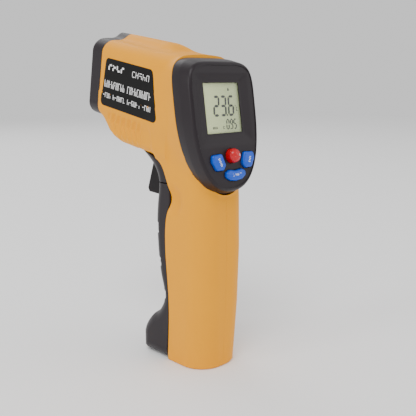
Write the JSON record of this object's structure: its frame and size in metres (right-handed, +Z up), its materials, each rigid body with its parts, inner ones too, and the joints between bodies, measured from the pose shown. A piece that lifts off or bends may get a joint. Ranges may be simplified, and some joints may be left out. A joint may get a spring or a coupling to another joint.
{
  "type": "infrared thermometer",
  "caption": "Pistol-shaped infrared thermometer with a lens and laser in its nose, a tilted display with keys, a trigger and a hinged battery door.",
  "frame": {"origin": "middle of the handle's flat foot, on the plane that the instrument stands on", "axes": "+Z up, +Y forwards, the way the nose points (raised about 10 degrees), +X to the user's right; the display faces -Y"},
  "size_m": [0.0432, 0.0941, 0.1664],
  "materials": {
    "housing": "satin",
    "steel": "plain",
    "label": "satin",
    "black_plastic": "satin",
    "trigger_plastic": "satin",
    "dark_ring": "matt",
    "ir_lens": "milky",
    "optics_black": "matt",
    "metal_can": "plain",
    "filter": "polished",
    "circuit_board": "satin",
    "ribbon": "satin",
    "brass": "plain",
    "laser_lens": "clear",
    "window": "clear",
    "lcd": "satin",
    "diffuser": "milky",
    "white_plastic": "satin",
    "rubber_strip": "matt",
    "chips": "matt",
    "rubber_grey": "matt",
    "tray_plastic": "satin",
    "cell": "satin",
    "lead_red": "satin",
    "lead_black": "satin",
    "key_red": "gloss",
    "key_blue": "gloss"
  },
  "bodies": {
    "body": {"housing_left": "housing", "housing_right": "housing", "housing_screws": "steel", "label_left": "label", "label_right": "label", "nose_cap": "black_plastic", "lens_ring": "dark_ring", "ir_lens": "ir_lens", "optics_tube": "optics_black", "optics_bracket": "optics_black", "thermopile": "metal_can", "thermopile_filter": "filter", "sensor_board": "circuit_board", "sensor_ribbon": "ribbon", "laser_module": "brass", "laser_lens": "laser_lens", "laser_leads": "lead_red", "display_bezel": "black_plastic", "display_window": "window", "lcd_glass": "lcd", "lcd_backlight": "diffuser", "lcd_frame": "white_plastic", "lcd_connector": "rubber_strip", "main_board": "circuit_board", "board_screws": "steel", "board_chips": "chips", "piezo_buzzer": "chips", "keypad_mat": "rubber_grey", "door_pin": "steel", "trigger_surround": "black_plastic", "trigger_pin": "steel", "trigger_spring": "steel", "trigger_switch": "chips", "switch_board": "circuit_board", "battery_tray": "tray_plastic", "battery_cell_left": "cell", "battery_cell_right": "cell", "contact_bridge": "steel", "contact_positive": "steel", "contact_negative": "steel", "battery_springs": "steel", "battery_lead_red": "lead_red", "battery_lead_black": "lead_black"},
    "door": {"battery_door": "black_plastic"},
    "trigger": {"trigger": "trigger_plastic"},
    "plunger": {"switch_plunger": "white_plastic"},
    "red_key": {"red_key": "key_red", "red_key_pill": "rubber_strip"},
    "left_key": {"left_key": "key_blue", "left_key_pill": "rubber_strip"},
    "right_key": {"right_key": "key_blue", "right_key_pill": "rubber_strip"},
    "lower_key": {"lower_key": "key_blue", "lower_key_pill": "rubber_strip"}
  },
  "joints": [
    {"name": "battery_door_hinge", "type": "hinge", "parent": "body", "child": "door", "pos_m": [0, 0.0096, 0.0034], "axis": [-1, 0, 0], "range_deg": [0, 88]},
    {"name": "trigger_pull", "type": "hinge", "parent": "body", "child": "trigger", "pos_m": [0, 0.0194, 0.1016], "axis": [-1, 0, 0], "range_deg": [0, 8], "stiffness_Nm_per_rad": 0.6, "springref_deg": -3.44, "deforming": ["trigger_spring"]},
    {"name": "switch_push", "type": "slide", "parent": "body", "child": "plunger", "axis": [0, -1, 0], "range_m": [0, 0.0016]},
    {"name": "red_key_press", "type": "slide", "parent": "body", "child": "red_key", "axis": [0, 0.9895, -0.1444], "range_m": [0, 0.0008], "stiffness_N_per_m": 600, "springref_m": -0.0004},
    {"name": "left_key_press", "type": "slide", "parent": "body", "child": "left_key", "axis": [0, 0.9895, -0.1444], "range_m": [0, 0.0008], "stiffness_N_per_m": 600, "springref_m": -0.0004},
    {"name": "right_key_press", "type": "slide", "parent": "body", "child": "right_key", "axis": [0, 0.9895, -0.1444], "range_m": [0, 0.0008], "stiffness_N_per_m": 600, "springref_m": -0.0004},
    {"name": "lower_key_press", "type": "slide", "parent": "body", "child": "lower_key", "axis": [0, 0.9895, -0.1444], "range_m": [0, 0.0008], "stiffness_N_per_m": 600, "springref_m": -0.0004}
  ],
  "couplings": [
    {"joint": "switch_push", "follows": "trigger_pull", "m_per_rad": 0.0112}
  ]
}
